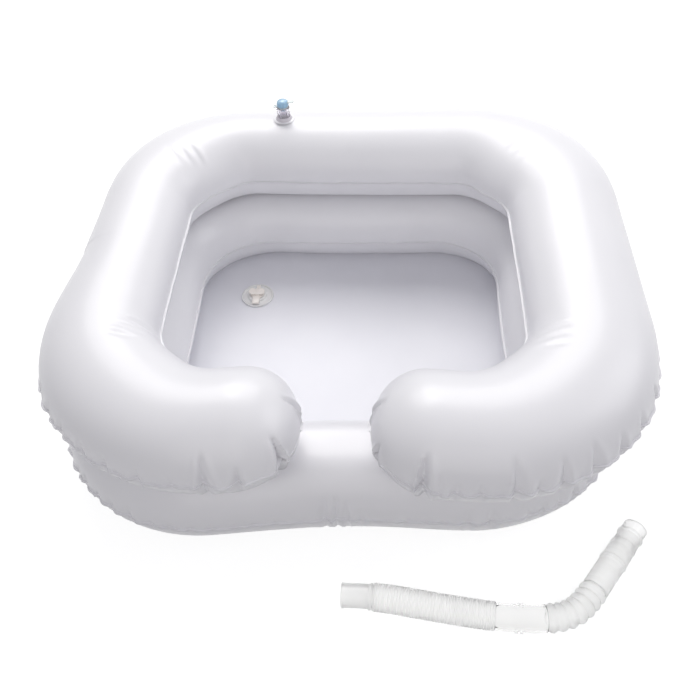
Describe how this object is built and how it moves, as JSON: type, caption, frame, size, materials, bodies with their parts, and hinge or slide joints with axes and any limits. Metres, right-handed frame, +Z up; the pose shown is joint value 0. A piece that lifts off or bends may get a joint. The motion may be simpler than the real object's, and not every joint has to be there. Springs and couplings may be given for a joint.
{
  "type": "inflatable hair-washing basin",
  "caption": "Two-chamber inflatable basin with a neck notch, air valves, a plugged floor drain and a loose ribbed drain hose.",
  "frame": {"origin": "on the ground under the middle of the basin's outline", "axes": "+Z up, the neck notch at -Y, the air valves at the rear (+Y), +X to the right as seen from the notch"},
  "size_m": [0.6094, 0.6343, 0.2063],
  "materials": {
    "white_vinyl": "satin white PVC sheet",
    "floor_vinyl": "satin white PVC sheet",
    "clear_vinyl": "clear soft PVC moulding",
    "blue_vinyl": "translucent pale blue PVC",
    "cream_vinyl": "translucent cream PVC",
    "hose_plastic": "translucent milky polyethylene"
  },
  "bodies": {
    "basin": {"upper_chamber_top_sheet": "white_vinyl", "upper_chamber_bottom_sheet": "white_vinyl", "lower_chamber_top_sheet": "white_vinyl", "lower_chamber_bottom_sheet": "white_vinyl", "floor_sheet": "floor_vinyl", "upper_valve_flange": "clear_vinyl", "lower_valve_flange": "clear_vinyl", "drain_flange": "cream_vinyl", "hose_inlet_cuff": "hose_plastic", "hose_short_bellows": "hose_plastic", "hose_coupling": "hose_plastic", "hose_long_bellows": "hose_plastic", "hose_outlet_cuff": "hose_plastic"},
    "upper_stem": {"upper_valve_stem": "clear_vinyl"},
    "upper_flap": {"upper_valve_flap": "clear_vinyl"},
    "upper_plug": {"upper_valve_plug": "blue_vinyl", "upper_valve_strap": "clear_vinyl"},
    "lower_stem": {"lower_valve_stem": "clear_vinyl"},
    "lower_flap": {"lower_valve_flap": "clear_vinyl"},
    "lower_plug": {"lower_valve_plug": "blue_vinyl", "lower_valve_strap": "clear_vinyl"},
    "drain_closure": {"drain_plug": "cream_vinyl", "drain_strap": "cream_vinyl"}
  },
  "joints": [
    {"name": "upper_stem_push", "type": "slide", "parent": "basin", "child": "upper_stem", "axis": [0, 0, -1], "range_m": [0, 0.008]},
    {"name": "upper_flap_open", "type": "hinge", "parent": "upper_stem", "child": "upper_flap", "pos_m": [-0.0912, 0.21723, 0.1732], "axis": [0.023, 0.9997, 0], "range_deg": [0, 45], "stiffness_Nm_per_rad": 0.0008, "springref_deg": -5.73},
    {"name": "upper_plug_open", "type": "hinge", "parent": "upper_stem", "child": "upper_plug", "pos_m": [-0.0962, 0.21735, 0.197], "axis": [-0.023, -0.9997, 0], "range_deg": [0, 120]},
    {"name": "lower_stem_push", "type": "slide", "parent": "basin", "child": "lower_stem", "axis": [-0.0192, -0.7894, -0.6136], "range_m": [0, 0.008]},
    {"name": "lower_flap_open", "type": "hinge", "parent": "lower_stem", "child": "lower_flap", "pos_m": [-0.09026, 0.24358, 0.06727], "axis": [0.015, 0.6134, -0.7896], "range_deg": [0, 45], "stiffness_Nm_per_rad": 0.0008, "springref_deg": -5.73},
    {"name": "lower_plug_open", "type": "hinge", "parent": "lower_stem", "child": "lower_plug", "pos_m": [-0.09481, 0.26249, 0.08188], "axis": [-0.015, -0.6134, 0.7896], "range_deg": [0, 120]},
    {"name": "drain_plug_open", "type": "hinge", "parent": "basin", "child": "drain_closure", "pos_m": [-0.122, 0.0675, 0.0143], "axis": [1, 0, 0], "range_deg": [0, 120]}
  ]
}
